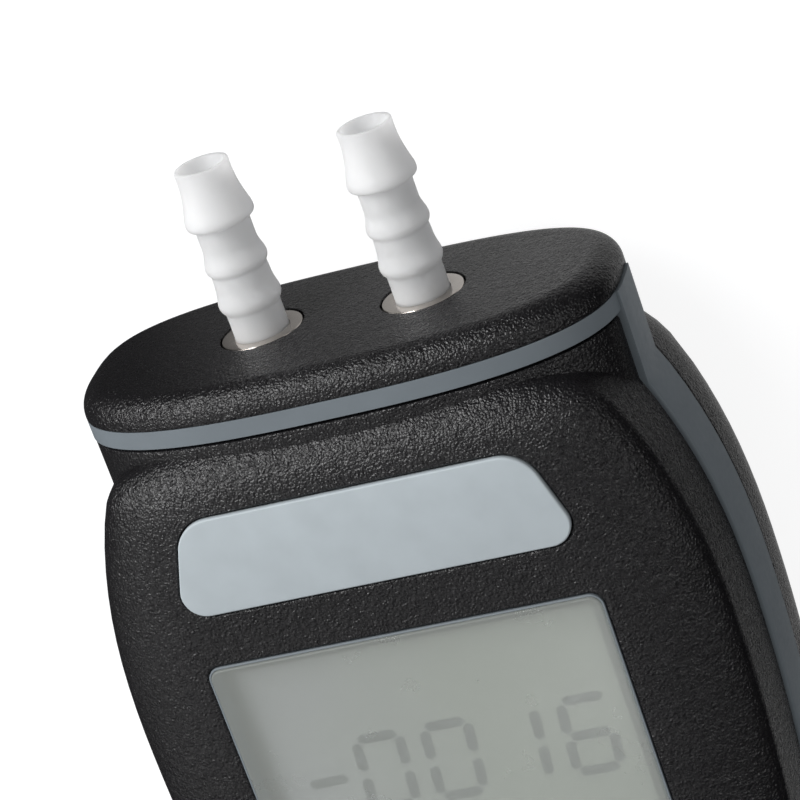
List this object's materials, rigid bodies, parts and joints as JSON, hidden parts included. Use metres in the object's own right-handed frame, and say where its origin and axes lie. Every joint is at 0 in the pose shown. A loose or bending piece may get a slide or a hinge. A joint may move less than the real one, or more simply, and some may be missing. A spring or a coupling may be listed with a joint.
{
  "type": "handheld differential manometer",
  "caption": "Handheld digital pressure meter with waisted black case, grey trim band, pale plate, display, travelling keys and hose barbs.",
  "frame": {"origin": "on the resting plane under the middle of the whole meter, barbs included", "axes": "the meter lies on its back: +X to its right side seen from the front, +Y towards the hose barbs, +Z out of the display"},
  "size_m": [0.0694, 0.1678, 0.0337],
  "materials": {
    "black_case": "fine pebble grain, satin black",
    "grey_trim": "satin blue-grey",
    "pale_plate": "smooth matte pale grey, bare",
    "clear_window": "clear moulded acrylic",
    "display_cell": "grey-green reflective liquid crystal cell",
    "white_nylon": "translucent white nylon",
    "nickel": "warm brushed nickel",
    "steel_screw": "zinc-plated steel",
    "key_grey": "satin dark grey, bare",
    "mat_rubber": "matte grey silicone",
    "seal_rubber": "matte black nitrile",
    "tube_silicone": "milky translucent silicone",
    "board_green": "green solder mask",
    "chip_black": "black epoxy",
    "sensor_white": "off-white moulded nylon",
    "holder_plastic": "plain white moulding",
    "battery_jacket": "bare dark metal jacket"
  },
  "bodies": {
    "case": {"battery": "battery_jacket", "battery_clip": "holder_plastic", "battery_contact_negative": "nickel", "battery_contact_positive": "nickel", "battery_cover": "black_case", "battery_cover_screw": "steel_screw", "board_screw_1": "steel_screw", "board_screw_2": "steel_screw", "board_screw_3": "steel_screw", "board_screw_4": "steel_screw", "case_screw_1": "steel_screw", "case_screw_2": "steel_screw", "case_screw_3": "steel_screw", "case_screw_4": "steel_screw", "clamp_screw_left": "steel_screw", "clamp_screw_right": "steel_screw", "elastomer_strip_lower": "mat_rubber", "elastomer_strip_upper": "mat_rubber", "front_shell": "black_case", "hose_barb_left": "white_nylon", "hose_barb_right": "white_nylon", "keypad_mat": "mat_rubber", "label_plate": "pale_plate", "lcd_cell": "display_cell", "lcd_frame": "holder_plastic", "main_board": "board_green", "port_cap": "black_case", "port_clamp": "holder_plastic", "port_disc_left": "nickel", "port_disc_right": "nickel", "port_seal_left": "seal_rubber", "port_seal_right": "seal_rubber", "pressure_sensor": "sensor_white", "processor_chip": "chip_black", "rear_shell": "black_case", "sensor_tube_left": "tube_silicone", "sensor_tube_right": "tube_silicone", "trim_frame": "grey_trim", "window": "clear_window"},
    "key_hold_body": {"key_hold": "key_grey"},
    "key_zero_body": {"key_zero": "key_grey"},
    "key_units_body": {"key_units": "key_grey"},
    "key_power_body": {"key_power": "key_grey"}
  },
  "joints": [
    {"name": "key_hold_press", "type": "slide", "parent": "case", "child": "key_hold_body", "axis": [0, 0, 1], "range_m": [-0.0006, 0], "stiffness_N_per_m": 1500, "springref_m": 0.0005},
    {"name": "key_zero_press", "type": "slide", "parent": "case", "child": "key_zero_body", "axis": [0, 0, 1], "range_m": [-0.0006, 0], "stiffness_N_per_m": 1500, "springref_m": 0.0005},
    {"name": "key_units_press", "type": "slide", "parent": "case", "child": "key_units_body", "axis": [0, 0, 1], "range_m": [-0.0006, 0], "stiffness_N_per_m": 1500, "springref_m": 0.0005},
    {"name": "key_power_press", "type": "slide", "parent": "case", "child": "key_power_body", "axis": [0, 0, 1], "range_m": [-0.0006, 0], "stiffness_N_per_m": 1500, "springref_m": 0.0005}
  ]
}
